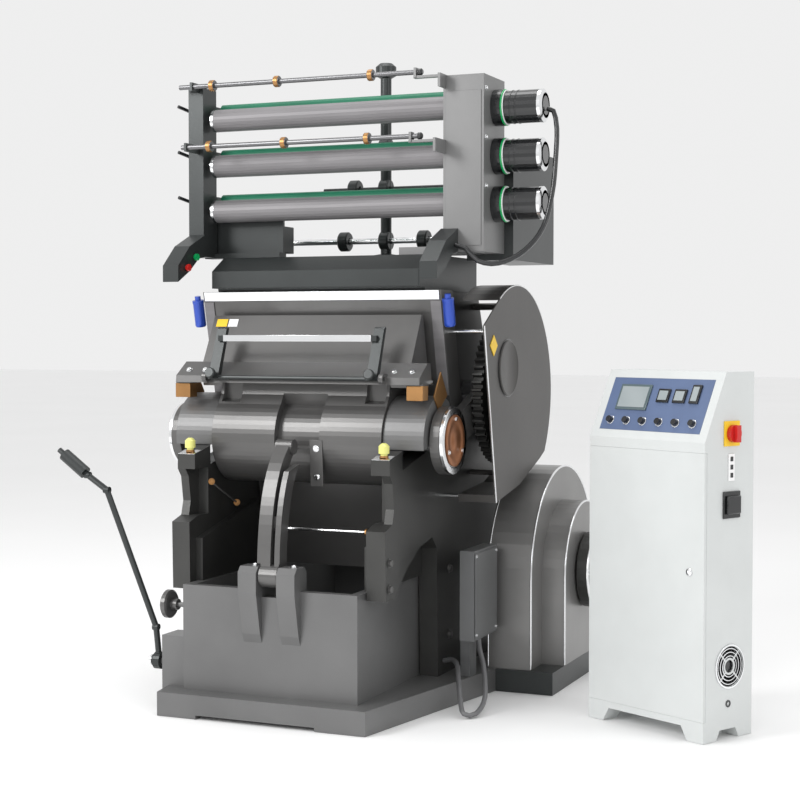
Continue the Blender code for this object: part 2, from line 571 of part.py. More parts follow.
def rear_box_and_post():
    block("rear_box", (0.44, 0.0305, 1.436), (0.60, 0.457, 1.805), "dark_paint")
    profile = [(0.0, 2.135), (0.022, 2.132), (0.036, 2.120), (0.036, 2.090), (0.019, 2.080), (0.019, 1.475),
               (0.045, 1.470), (0.045, HEAD_TOP + GAP), (0.0, HEAD_TOP + GAP)]
    mesh = bpy.data.meshes.new("foil_post")
    mesh.from_pydata([(radius, 0.0, z) for radius, z in profile], [(i, i + 1) for i in range(8)], [])
    post = place("foil_post", mesh, "dark_paint", (0.057, 0.25, 0))
    screw = post.modifiers.new("turn", "SCREW")
    screw.steps = 24
    screw.render_steps = 24
    screw.use_merge_vertices = True
    screw.merge_threshold = 0.00005
    screw.use_smooth_shade = True


def control_arms():
    outline = [(-0.1635, 1.53), (-0.267, 1.487), (-0.343, 1.42), (-0.343, 1.367), (-0.267, 1.405),
               (-0.208, 1.448), (-0.1635, 1.4565)]
    side_plate("control_arm_right", outline, 0.426, 0.484, "dark_paint")
    left = side_plate("control_arm_left", outline, -0.484, -0.426, "dark_paint")
    for label, (y, z), finish in (("start", START_BUTTON, "green_plastic"), ("stop", STOP_BUTTON, "red_plastic")):
        cut(left, bar_x(label + "_socket", 0.0085, (y, z), -0.445, -0.42, sides=20))
        button = bar_x(label + "_button", 0.0080, (y, z), -0.436, -0.4255, finish, sides=20)
        join(button, bar_x(label + "_cap", 0.0115, (y, z), -0.4215, -0.413, sides=20),
             bar_x(label + "_neck", 0.0070, (y, z), -0.428, -0.420, sides=20))


# ---- flywheel side ---------------------------------------------------------------------------
def arch(radius, half, parts):
    """An arch with straight legs down to the pedestal, as wide as half on each side."""
    turn = math.degrees(math.acos(half / radius)) if half < radius else 0.0
    return (arc(FLYWHEEL, radius, 180 - turn, turn, parts)
            + [(FLYWHEEL[0] + half, FLANGE_TOP + GAP), (FLYWHEEL[0] - half, FLANGE_TOP + GAP)])


def flywheel_side():
    block("flywheel_pedestal", (0.5005, 0.15, 0.0), (0.70, 0.89, FLANGE_TOP), "dark_paint")
    cover = side_plate("flywheel_cover", arch(0.36, 0.36, 28), 0.47, 0.62, "grey_paint")
    join(cover, side_plate("cover_step", arch(0.24, 0.24, 24), 0.60, 0.70))
    hollow = inset(arch(0.36, 0.36, 28), 0.004)[:-2] + [(FLYWHEEL[0] + 0.356, 0.0), (FLYWHEEL[0] - 0.356, 0.0)]
    step = inset(arch(0.24, 0.24, 24), 0.004)[:-2] + [(FLYWHEEL[0] + 0.236, 0.0), (FLYWHEEL[0] - 0.236, 0.0)]
    cut(cover, side_plate("wheel_space", hollow, 0.46, 0.616), side_plate("step_space", step, 0.60, 0.696),
        bar_x("cover_hole", 0.035, FLYWHEEL, 0.68, 0.72, sides=24))
    profile = [(0.745, 0.0), (0.745, 0.055), (0.738, 0.060), (0.738, 0.105), (0.742, 0.112), (0.742, 0.130),
               (0.708, 0.130), (0.708, 0.105), (0.722, 0.095), (0.722, 0.030), (0.572, 0.030), (0.572, 0.060),
               (0.556, 0.070), (0.556, 0.225), (0.572, 0.235), (0.572, FLYWHEEL_R), (0.502, FLYWHEEL_R),
               (0.502, 0.235), (0.516, 0.225), (0.516, 0.070), (0.500, 0.060), (0.500, 0.025), (0.304, 0.025),
               (0.304, 0.0)]
    turned_x("flywheel", profile, FLYWHEEL, "cast_iron", steps=36)
    box = block("junction_box", (0.467, -0.10, 0.21), (0.515, 0.121, 0.50), "dark_paint")
    join(box, block("box_post", (0.435, -0.01, FLANGE_TOP + GAP), (0.468, 0.05, 0.36)))


# ---- cabinet -----------------------------------------------------------------------------------
def cabinet():
    """The cabinet stands in its own axes: X along its front, Y to its rear."""
    root = bpy.data.objects.new("cabinet_axes", None)
    PARTS.objects.link(root)
    root.location = (*CABINET_CORNER, 0)
    root.rotation_euler = (0, 0, CABINET_YAW)
    width, depth, front, top = CABINET_W, CABINET_D, CABINET_FRONT_TOP, CABINET_TOP
    side = [(0, 0.0), (depth, 0.0), (depth, top), (CONSOLE_DEPTH, top), (0, front)]
    shell = side_plate("cabinet_shell", side, 0, width, "white_enamel", root)
    inner = [(-0.01, 0.062), (depth - WALL, 0.062), (depth - WALL, top - WALL),
             (CONSOLE_DEPTH + 0.004, top - WALL), (0.024, front - 0.030), (-0.01, front - 0.030)]
    cut(shell, side_plate("cabinet_space", inner, 0.024, width - WALL, parent=root))
    foot = [(0.055, -0.01), (0.085, 0.042), (width - 0.085, 0.042), (width - 0.055, -0.01)]
    cut(shell, flat("foot_arch", foot, 1.0, (0, 0, 0), (math.pi / 2, 0, 0), parent=root))
    side_foot = [(0.055, -0.01), (0.075, 0.030), (depth - 0.075, 0.030), (depth - 0.055, -0.01)]
    cut(shell, side_plate("side_foot_arch", side_foot, -0.5, 1.0, parent=root))
    slope = Vector((CONSOLE_DEPTH, top - front)).normalized()
    console_cut = console_outline(slope, -0.05, 0.016, 0.026, -0.026)
    cut(shell, side_plate("console_opening", console_cut, 0.030, width - 0.030, parent=root))
    wall = width - 0.020
    cut(shell, bar_x("switch_hole", 0.010, SWITCH, wall, width + 0.01, sides=16, parent=root),
        bar_x("fan_hole", FAN_R, FAN, wall, width + 0.01, sides=32, parent=root))
    guard = bar_x("fan_guard_ring", FAN_R * 0.42, FAN, width - 0.0035, width - 0.0005, sides=24, parent=root)
    join(shell, guard)
    cut(shell, bar_x("fan_guard_eye", FAN_R * 0.32, FAN, wall, width + 0.01, sides=24, parent=root))
    for i in range(4):
        spoke = block("fan_spoke_%d" % (i + 1), (-0.0015, -0.0022, FAN_R * 0.36), (0.0015, 0.0022, FAN_R + 0.004),
                      parent=root)
        spoke.location = (width - 0.002, *FAN)
        spoke.rotation_euler = (math.radians(90 * i + 45), 0, 0)
        spoke.data.transform(Matrix.Translation((0, 0, FAN_R * 0.68 + 0.002)))
        join(shell, spoke)
    panel = side_plate("console_panel", console_outline(slope, -0.0005, 0.010, 0.0265, -0.0265),
                       0.0305, width - 0.0305, "console_blue", root)
    for i in range(6):
        place_button(root, panel, slope, i, width)
    door = block("cabinet_door", (0.0005, 0.0, 0.0625), (width - 0.0005, 0.010, front - 0.0305), "white_enamel",
                 parent=root)
    door.data.transform(Matrix.Translation((door.location.x - 0.0005, 0.005, door.location.z)))
    door.location = (0.0005, 0.0, 0.0)
    cut(shell, block("door_rebate", (-0.01, -0.01, 0.062), (width + 0.01, 0.0105, front - 0.030), parent=root))
    switch_and_fan(root, width)


def console_outline(slope, over, under, start, stop):
    """A strip along the sloping front, from under its surface to over it."""
    length = Vector((CONSOLE_DEPTH, CABINET_TOP - CABINET_FRONT_TOP)).length
    inward = Vector((slope.y, -slope.x))
    base = Vector((0, CABINET_FRONT_TOP))
    corners = [(start, over), (length + stop, over), (length + stop, under), (start, under)]
    return [tuple(base + slope * along + inward * deep) for along, deep in corners]


def console_point(slope, x, along, deep):
    """A point on the console, at a share of its height and a depth below its surface."""
    length = Vector((CONSOLE_DEPTH, CABINET_TOP - CABINET_FRONT_TOP)).length
    where = Vector((0, CABINET_FRONT_TOP)) + slope * length * along + Vector((slope.y, -slope.x)) * deep
    return Vector((x, where.x, where.y))


def place_button(root, panel, slope, i, width):
    x = width * (0.145 + 0.142 * i)
    hole = rod("button_hole_%d" % (i + 1), 0.0060, console_point(slope, x, 0.25, -0.01),
               console_point(slope, x, 0.25, 0.03), sides=16, parent=root)
    cut(panel, hole)
    button = rod("console_button_%d" % (i + 1), 0.0050, console_point(slope, x, 0.25, -0.006),
               console_point(slope, x, 0.25, 0.009), "black_plastic", sides=14, parent=root)
    join(button, rod("button_head_%d" % (i + 1), 0.0100, console_point(slope, x, 0.25, -0.014),
                   console_point(slope, x, 0.25, -0.0042), sides=18, parent=root))


def switch_and_fan(root, width):
    switch = bar_x("main_switch", 0.0095, SWITCH, width - 0.018, width + 0.012, "red_plastic", 16, root)
    join(switch, bar_x("switch_skirt", 0.026, SWITCH, width + 0.0045, width + 0.018, sides=24, parent=root),
         block("switch_bar", (width + 0.016, SWITCH[0] - 0.009, SWITCH[1] - 0.025),
               (width + 0.030, SWITCH[0] + 0.009, SWITCH[1] + 0.025), parent=root))
    fan = bar_x("fan_rotor", 0.018, FAN, width - 0.030, width - 0.008, "black_plastic", 20, root)
    for i in range(5):
        blade = block("fan_blade_%d" % (i + 1), (-0.0015, -0.013, 0.010), (0.0015, 0.013, FAN_R - 0.004), parent=root)
        blade.data.transform(Matrix.Translation((0, 0, FAN_R / 2 + 0.003)))
        blade.data.transform(Matrix.Rotation(math.radians(35), 4, "Z"))
        blade.location = (width - 0.019, *FAN)
        blade.rotation_euler = (math.radians(72 * i), 0, 0)
        join(fan, blade)


# ---- cables ------------------------------------------------------------------------------------
def cables():
    hose = [(0.3775, -0.012, 0.122), (0.405, -0.020, 0.130), (0.445, -0.07, 0.128), (0.478, -0.14, 0.095),
            (0.515, -0.22, 0.045), (0.545, -0.268, 0.015), (0.575, -0.24, 0.013), (0.572, -0.15, 0.045),
            (0.535, -0.06, 0.120), (0.500, -0.005, 0.170), (0.494, 0.002, 0.207)]
    tube("base_hose", 0.008, smooth_route(hose, 0.022), "grey_hose")
    conduit = [(0.7400, -0.05, 1.905), (0.760, -0.05, 1.896), (0.772, -0.052, 1.84), (0.769, -0.055, 1.74),
               (0.762, -0.065, 1.64), (0.740, -0.09, 1.53), (0.69, -0.13, 1.455), (0.62, -0.165, 1.418),
               (0.560, -0.188, 1.425), (0.520, -0.195, 1.465), (0.4865, -0.195, 1.475)]
    tube("motor_conduit", 0.008, smooth_route(conduit, 0.024), "black_plastic")


clear_scene()
PARTS = collection("die_cutting_machine")
CUTTERS = collection("cutters")
base_casting()
side_frame("side_frame_left", -1)
side_frame("side_frame_right", 1)
bed()
head_beam()
trunnion()
slide_block("slide_block_left", -1)
slide_block("slide_block_right", 1)
platen()
gripper_frame()
draw_arm("draw_arm_left", -1)
draw_arm("draw_arm_right", 1)
crank_train()
gear_cover()
rocker_link()
base_controls()
foil_column_left()
foil_gearbox_right()
foil_rollers()
foil_shafts()
foil_motors()
rear_box_and_post()
control_arms()
flywheel_side()
cabinet()
cables()
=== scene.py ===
"""Looks of the foil stamping and die cutting press: materials, trim, cables, lights and camera."""
import json
import math

import bmesh
import bpy
from mathutils import Matrix, Vector


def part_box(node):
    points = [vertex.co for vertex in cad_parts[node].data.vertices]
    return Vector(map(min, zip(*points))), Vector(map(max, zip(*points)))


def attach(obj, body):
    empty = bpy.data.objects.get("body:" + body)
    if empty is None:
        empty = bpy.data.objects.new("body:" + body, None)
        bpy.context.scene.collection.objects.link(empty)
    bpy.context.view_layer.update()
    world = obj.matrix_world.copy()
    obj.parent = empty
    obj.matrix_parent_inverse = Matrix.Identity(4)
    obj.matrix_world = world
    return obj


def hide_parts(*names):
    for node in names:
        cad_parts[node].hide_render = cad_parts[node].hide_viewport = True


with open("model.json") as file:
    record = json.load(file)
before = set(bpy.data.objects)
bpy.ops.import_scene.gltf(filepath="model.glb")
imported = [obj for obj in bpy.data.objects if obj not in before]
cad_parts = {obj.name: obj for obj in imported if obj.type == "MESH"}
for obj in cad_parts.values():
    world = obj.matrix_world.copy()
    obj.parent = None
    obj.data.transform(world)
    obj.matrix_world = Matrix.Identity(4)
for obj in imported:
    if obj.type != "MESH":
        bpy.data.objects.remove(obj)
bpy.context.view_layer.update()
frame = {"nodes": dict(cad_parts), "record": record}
NODES = frame["nodes"]
JOINTS = {joint["name"]: joint for joint in frame["record"]["behaviour"]["joints"]}
TRUNNION = tuple(JOINTS["platen_rock"]["pos_m"][1:])
MAIN_SHAFT = tuple(JOINTS["crank_turn"]["pos_m"][1:])
FLYWHEEL = tuple(JOINTS["flywheel_turn"]["pos_m"][1:])
TILT = math.tan(math.radians(13))
CONSOLE_DEEP, CONSOLE_TALL = 0.095, 0.205     # how far the cabinet's console runs back and up
CONSOLE_SLOPE = math.hypot(CONSOLE_DEEP, CONSOLE_TALL)
CABINET_WIDTH = 0.460
CONSOLE_FOOT = 0.881                          # height of the console's lower edge
CAD_SMOOTH_DEG, TRIM_SMOOTH_DEG = 32, 35      # edges sharper than this stay crisp


# ---- materials ------------------------------------------------------------------------------
def surface(name, colour, metallic, roughness, grain=40.0, spread=0.12, bump=0.15, stretch=(1, 1, 1),
    coat=0.0):
    """A procedural finish: mottled colour, uneven gloss and fine relief."""
    made = bpy.data.materials.new(name)
    made.use_nodes = True
    nodes, links = made.node_tree.nodes, made.node_tree.links
    shader = nodes["Principled BSDF"]
    shader.inputs["Metallic"].default_value = metallic
    shader.inputs["Coat Weight"].default_value = coat
    shader.inputs["Coat Roughness"].default_value = 0.15
    place = nodes.new("ShaderNodeTexCoord")
    scale = nodes.new("ShaderNodeMapping")
    scale.inputs["Scale"].default_value = stretch
    links.new(place.outputs["Object"], scale.inputs["Vector"])
    broad = nodes.new("ShaderNodeTexNoise")
    broad.inputs["Scale"].default_value = grain * 0.12
    broad.inputs["Detail"].default_value = 5.0
    fine = nodes.new("ShaderNodeTexNoise")
    fine.inputs["Scale"].default_value = grain * 6.0
    fine.inputs["Detail"].default_value = 3.0
    for noise in (broad, fine):
        links.new(scale.outputs["Vector"], noise.inputs["Vector"])
    ramp = nodes.new("ShaderNodeValToRGB")
    ramp.color_ramp.elements[0].position = 0.3
    ramp.color_ramp.elements[1].position = 0.7
    ramp.color_ramp.elements[0].color = (*[c * (1 - spread) for c in colour], 1)
    ramp.color_ramp.elements[1].color = (*[min(1, c * (1 + spread)) for c in colour], 1)
    links.new(broad.outputs["Fac"], ramp.inputs["Fac"])
    links.new(ramp.outputs["Color"], shader.inputs["Base Color"])
    gloss = nodes.new("ShaderNodeMapRange")
    gloss.inputs["To Min"].default_value = max(0.03, roughness * 0.88)
    gloss.inputs["To Max"].default_value = min(1.0, roughness * 1.12)
    links.new(fine.outputs["Fac"], gloss.inputs["Value"])
    links.new(gloss.outputs["Result"], shader.inputs["Roughness"])
    relief = nodes.new("ShaderNodeBump")
    relief.inputs["Strength"].default_value = bump
    relief.inputs["Distance"].default_value = 0.001
    links.new(fine.outputs["Fac"], relief.inputs["Height"])
    links.new(relief.outputs["Normal"], shader.inputs["Normal"])
    return made


LIGHT_GREY = surface("machine_grey", (0.150, 0.150, 0.150), 0.35, 0.36, 30, 0.10, 0.12)
MID_GREY = surface("casting_grey", (0.122, 0.120, 0.118), 0.5, 0.32, 30, 0.10, 0.04)
DARK_GREY = surface("dark_machine_paint", (0.036, 0.040, 0.040), 0.4, 0.34, 30, 0.15, 0.15)
IRON = surface("cast_iron_paint", (0.052, 0.052, 0.050), 0.5, 0.38, 35, 0.2, 0.4)
POLISHED = surface("polished_steel", (0.86, 0.87, 0.88), 1.0, 0.16, 30, 0.06, 0.05)
BRUSHED = surface("ground_roller_steel", (0.215, 0.208, 0.214), 0.45, 0.52, 30, 0.08, 0.2, (1, 14, 14))
ROD_STEEL = surface("bare_rod_steel", (0.17, 0.17, 0.175), 0.8, 0.34, 30, 0.1, 0.1)
COVER_GREY = surface("cover_paint", (0.066, 0.063, 0.060), 0.4, 0.36, 30, 0.12, 0.12)
WHEEL_COVER = surface("wheel_cover_paint", (0.235, 0.232, 0.228), 0.5, 0.32, 30, 0.1, 0.12)
GEARBOX = surface("gearbox_paint", (0.195, 0.195, 0.195), 0.35, 0.36, 30, 0.10, 0.12)
BOX_GREY = surface("terminal_box_paint", (0.135, 0.138, 0.14), 0.4, 0.34, 30, 0.1, 0.12)
RUBBER = surface("green_rubber", (0.0, 0.15, 0.075), 0.0, 0.5, 60, 0.15, 0.3)
BLACK = surface("glossy_black", (0.012, 0.013, 0.014), 0.1, 0.22, 40, 0.2, 0.05, coat=0.5)
BRASS = surface("worn_bronze", (0.40, 0.21, 0.08), 0.8, 0.36, 50, 0.2, 0.25)
DISC_BROWN = surface("turned_bronze_face", (0.30, 0.12, 0.05), 0.7, 0.35, 70, 0.35, 0.3)
BLUE = surface("blue_cylinder", (0.02, 0.07, 0.45), 0.3, 0.3, 40, 0.15, 0.1, coat=0.4)
CUP = surface("pale_oil_cup", (0.75, 0.74, 0.22), 0.0, 0.3, 60, 0.1, 0.05, coat=0.3)
ENAMEL = surface("off_white_enamel", (0.60, 0.62, 0.615), 0.0, 0.36, 60, 0.025, 0.12, coat=0.15)
CONSOLE = surface("console_enamel", (0.105, 0.15, 0.27), 0.1, 0.4, 80, 0.06, 0.12)
SCREEN = surface("display_glass", (0.32, 0.36, 0.37), 0.0, 0.12, 20, 0.08, 0.0, coat=0.8)
DIAL = surface("instrument_face", (0.10, 0.14, 0.15), 0.0, 0.18, 20, 0.2, 0.0, coat=0.6)
RED = surface("red_plastic", (0.55, 0.015, 0.012), 0.0, 0.3, 60, 0.08, 0.05, coat=0.3)
GREEN = surface("green_plastic", (0.0, 0.38, 0.10), 0.0, 0.3, 60, 0.08, 0.05, coat=0.3)
YELLOW = surface("yellow_plate", (0.85, 0.55, 0.02), 0.0, 0.4, 60, 0.06, 0.05)
WHITE = surface("white_plate", (0.85, 0.85, 0.85), 0.0, 0.4, 60, 0.03, 0.02)
HOSE = surface("grey_conduit", (0.15, 0.15, 0.155), 0.2, 0.42, 60, 0.15, 0.3)
FLOOR = surface("pale_floor", (0.93, 0.93, 0.93), 0.0, 0.6, 5, 0.01, 0.0)

FINISH = {
    LIGHT_GREY: ["base_casting", "slide_block_left", "slide_block_right"],
    GEARBOX: ["foil_gearbox_right"],
    BOX_GREY: ["junction_box"],
    ROD_STEEL: ["foil_shaft_1", "foil_shaft_2", "main_shaft", "pinion_shaft"],
    COVER_GREY: ["gear_cover"],
    WHEEL_COVER: ["flywheel_cover"],
    MID_GREY: ["platen_casting", "bed_casting", "draw_arm_left", "draw_arm_right", "rocker_link",
        "handwheel"],
    DARK_GREY: ["head_beam", "gripper_frame", "foil_column_left", "foil_post", "rear_box",
                "control_arm_left", "control_arm_right", "flywheel_pedestal", "hand_lever"],
    IRON: ["side_frame_left", "side_frame_right", "crank_gear", "flywheel"],
    POLISHED: ["hot_plate", "trunnion_shaft"],
    BRUSHED: ["feed_roller_1", "feed_roller_2", "feed_roller_3"],
    RUBBER: ["rubber_roller_1", "rubber_roller_2", "rubber_roller_3"],
    BLACK: ["pressure_lever_1", "pressure_lever_2", "pressure_lever_3", "foil_motor_1", "foil_motor_2",
            "foil_motor_3", "fan_rotor"] + ["console_button_%d" % n for n in range(1, 7)],
    ENAMEL: ["cabinet_shell", "cabinet_door"],
    CONSOLE: ["console_panel"],
    RED: ["main_switch", "stop_button"],
    GREEN: ["start_button"],
}
SOFT_EDGES = {
    0.004: ["base_casting", "side_frame_left", "side_frame_right", "bed_casting", "platen_casting",
        "rocker_link",
            "draw_arm_left", "draw_arm_right", "flywheel_pedestal", "head_beam"],
    0.003: ["control_arm_left", "control_arm_right", "foil_column_left", "foil_gearbox_right", "rear_box",
            "junction_box", "cabinet_shell", "slide_block_left", "slide_block_right"],
    0.0015: ["hot_plate", "gripper_frame", "cabinet_door", "console_panel", "main_switch", "hand_lever",
             "gear_cover", "flywheel_cover"],
}


def soften(made, width):
    """Rounds the sharp edges so that they catch the light."""
    bevel = made.modifiers.new("soft_edges", "BEVEL")
    bevel.width = width
    bevel.segments = 2
    bevel.limit_method = "ANGLE"
    bevel.angle_limit = math.radians(40)
    bevel.harden_normals = False
    return made


def smooth_group(angle):
    """A modifier's node group: smooth shading that keeps every edge above the angle crisp."""
    group = bpy.data.node_groups.new("smooth_by_angle", "GeometryNodeTree")
    group.interface.new_socket(name="Geometry", in_out="INPUT", socket_type="NodeSocketGeometry")
    group.interface.new_socket(name="Geometry", in_out="OUTPUT", socket_type="NodeSocketGeometry")
    nodes, links = group.nodes, group.links
    source = nodes.new("NodeGroupInput")
    result = nodes.new("NodeGroupOutput")
    faces = nodes.new("GeometryNodeSetShadeSmooth")
    faces.domain = "FACE"
    edges = nodes.new("GeometryNodeSetShadeSmooth")
    edges.domain = "EDGE"
    bend = nodes.new("GeometryNodeInputMeshEdgeAngle")
    below = nodes.new("FunctionNodeCompare")
    below.data_type = "FLOAT"
    below.operation = "LESS_THAN"
    below.inputs["B"].default_value = angle
    links.new(bend.outputs["Unsigned Angle"], below.inputs["A"])
    links.new(below.outputs["Result"], edges.inputs["Shade Smooth"])
    links.new(source.outputs["Geometry"], faces.inputs["Geometry"])
    links.new(faces.outputs["Geometry"], edges.inputs["Geometry"])
    links.new(edges.outputs["Geometry"], result.inputs["Geometry"])
    return group


def finish_cad_nodes():
    for material, names in FINISH.items():
        for name in names:
            for place in NODES[name].material_slots:
                place.material = material
    for width, names in SOFT_EDGES.items():
        for name in names:
            soften(NODES[name], width)
    smoothing = smooth_group(math.radians(CAD_SMOOTH_DEG))
    for names in FINISH.values():
        for name in names:
            NODES[name].modifiers.new("smooth_by_angle", "NODES").node_group = smoothing


# ---- building blocks --------------------------------------------------------------------------
def piece(name, mesh, material, body, round_over=0.0, turn=None):
    made = bpy.data.objects.new(name, mesh)
    bpy.context.scene.collection.objects.link(made)
    mesh.materials.append(material)
    if turn is not None:
        made.matrix_world = turn
    if round_over:
        soften(made, round_over)
    mesh.shade_smooth()
    mesh.set_sharp_from_angle(angle=math.radians(TRIM_SMOOTH_DEG))
    bpy.context.view_layer.update()
    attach(made, body)
    return made


def prism(name, outline, low, high, material, body, round_over=0.001, turn=None):
    """A solid with a (Y, Z) outline between two X positions."""
    shape = bmesh.new()
    near = [shape.verts.new((low, y, z)) for y, z in outline]
    far = [shape.verts.new((high, y, z)) for y, z in outline]
    shape.faces.new(near)
    shape.faces.new(reversed(far))
    for i in range(len(outline)):
        j = (i + 1) % len(outline)
        shape.faces.new((near[i], far[i], far[j], near[j]))
    bmesh.ops.recalc_face_normals(shape, faces=shape.faces)
    mesh = bpy.data.meshes.new(name)
    shape.to_mesh(mesh)
    shape.free()
    return piece(name, mesh, material, body, round_over, turn)


def slab(name, low, high, material, body, round_over=0.0015, turn=None):
    outline = [(low[1], low[2]), (high[1], low[2]), (high[1], high[2]), (low[1], high[2])]
    return prism(name, outline, low[0], high[0], material, body, round_over, turn)


def lathe(name, profile, centre, direction, material, body, sides=40):
    """A turned piece: (distance along direction, radius) from its centre point."""
    shape = bmesh.new()
    rings = []
    for along, radius in profile:
        if radius <= 0:
            rings.append([shape.verts.new((0, 0, along))])
        else:
            rings.append([shape.verts.new((radius * math.cos(2 * math.pi * i / sides),
                                           radius * math.sin(2 * math.pi * i / sides),
                                               along)) for i in range(sides)])
    for first, second in zip(rings, rings[1:]):
        for i in range(sides):
            j = (i + 1) % sides
            corners = [first[i % len(first)], first[j % len(first)], second[j % len(second)],
                second[i % len(second)]]
            unique = list(dict.fromkeys(corners))
            if len(unique) > 2:
                shape.faces.new(unique)
    bmesh.ops.recalc_face_normals(shape, faces=shape.faces)
    mesh = bpy.data.meshes.new(name)
    shape.to_mesh(mesh)
    shape.free()
    turn = Vector(direction).to_track_quat("Z", "Y").to_matrix().to_4x4()
    return piece(name, mesh, material, body, 0.0, Matrix.Translation(centre) @ turn)


def ring(name, inner, outer, thickness, centre, direction, material, body, sides=48):
    edge = min(0.0015, thickness * 0.3)
    profile = [(0, inner), (0, outer - edge), (edge, outer), (thickness - edge, outer), (thickness,
        outer - edge),
               (thickness, inner), (0, inner)]
    return lathe(name, profile, centre, direction, material, body, sides)


def bolt(name, radius, centre, direction, material, body):
    """A hexagon head on a washer."""
    high = radius * 0.9
    profile = [(0, 0), (0, radius * 1.35), (high * 0.15, radius * 1.35), (high * 0.15, radius),
               (high * 0.85, radius), (high, radius * 0.82), (high, 0)]
    return lathe(name, profile, centre, direction, material, body, 12)


def pipe(name, points, radius, material, body, smooth=True):
    curve = bpy.data.curves.new(name, "CURVE")
    curve.dimensions = "3D"
    curve.bevel_depth = radius
    curve.bevel_resolution = 3
    curve.use_fill_caps = True
    spline = curve.splines.new("NURBS" if smooth else "POLY")
    spline.points.add(len(points) - 1)
    for point, where in zip(spline.points, points):
        point.co = (*where, 1)
    if smooth:
        spline.use_endpoint_u = True
        spline.order_u = 4
    curve.materials.append(material)
    made = bpy.data.objects.new(name, curve)
    bpy.context.scene.collection.objects.link(made)
    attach(made, body)
    return made


def arc(centre, radius, start, end, parts):
    angles = [math.radians(start + (end - start) * i / parts) for i in range(parts + 1)]
    return [(centre[0] + radius * math.cos(a), centre[1] + radius * math.sin(a)) for a in angles]


def spline_route(points, step):
    """Points every step or so along a Catmull-Rom curve through the given points."""
    points = [Vector(p) for p in points]
    ends = [2 * points[0] - points[1]] + points + [2 * points[-1] - points[-2]]
    route = []
    for before, start, end, after in zip(ends, ends[1:], ends[2:], ends[3:]):
        parts = max(1, round((end - start).length / step))
        for i in range(parts):
            t = i / parts
            route.append(0.5 * (2 * start + (end - before) * t
                                + (2 * before - 5 * start + 4 * end - after) * t ** 2
                                + (3 * start - before - 3 * end + after) * t ** 3))
    return route + [points[-1]]


# ---- cables -----------------------------------------------------------------------------------
def cable(node, route, step, radius, material):
    """A conduit on its CAD route."""
    path = spline_route(route, step)
    curve = bpy.data.curves.new(node + "_cover", "CURVE")
    curve.dimensions = "3D"
    curve.bevel_depth = radius
    curve.bevel_resolution = 4
    curve.use_fill_caps = True
    spline = curve.splines.new("POLY")
    spline.points.add(len(path) - 1)
    for point, where in zip(spline.points, path):
        point.co = (*where, 1)
    curve.materials.append(material)
    made = bpy.data.objects.new(node + "_cover", curve)
    bpy.context.scene.collection.objects.link(made)
    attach(made, "press")
    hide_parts(node)


def cables():
    cable("base_hose", [(0.3775, -0.012, 0.122), (0.405, -0.020, 0.130), (0.445, -0.07, 0.128), (0.478,
            -0.14, 0.095),
                        (0.515, -0.22, 0.045), (0.545, -0.268, 0.015), (0.575, -0.24, 0.013), (0.572, -0.15,
                            0.045),
                        (0.535, -0.06, 0.120), (0.500, -0.005, 0.170), (0.494, 0.002, 0.207)], 0.022, 0.008,
                            HOSE)
    cable("motor_conduit", [(0.7400, -0.05, 1.905), (0.760, -0.05, 1.896), (0.772, -0.052, 1.84), (0.769,
            -0.055, 1.74),
                            (0.762, -0.065, 1.64), (0.740, -0.09, 1.53), (0.69, -0.13, 1.455), (0.62,
                                -0.165, 1.418),
                            (0.560, -0.188, 1.425), (0.520, -0.195, 1.465), (0.4865, -0.195, 1.475)], 0.024,
                                0.008,
          BLACK)


# ---- platen, bed and drive ---------------------------------------------------------------------
def bed_face(z, offset=0.0):
    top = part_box("bed_casting")[1][2]
    return (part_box("bed_casting")[0][1] + (top - z) * TILT + offset, z)


def bed_trim():
    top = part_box("bed_casting")[1][2]
    strip = [bed_face(top - 0.031, -0.006), bed_face(top - 0.001, -0.006), bed_face(top - 0.001, -0.0005),
             bed_face(top - 0.031, -0.0005)]
    prism("bed_top_strip", strip, -0.424, 0.424, POLISHED, "press")
    for side in (-1, 1):
        low, high = sorted((side * 0.392, side * 0.428))
        stile = [bed_face(1.00, -0.004), bed_face(top - 0.034, -0.004), bed_face(top - 0.034, -0.0005),
                 bed_face(1.00, -0.0005)]
        prism("bed_stile_%s" % ("left" if side < 0 else "right"), stile, low, high, BRUSHED, "press")
    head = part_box("head_beam")
    lip = [(-0.2135, 1.350), (-0.2125, 1.350), (-0.2125, 1.402), (-0.2135, 1.402)]
    prism("head_front_face", lip, head[0][0] + 0.004, head[1][0] - 0.004, DARK_GREY, "press", 0.0)


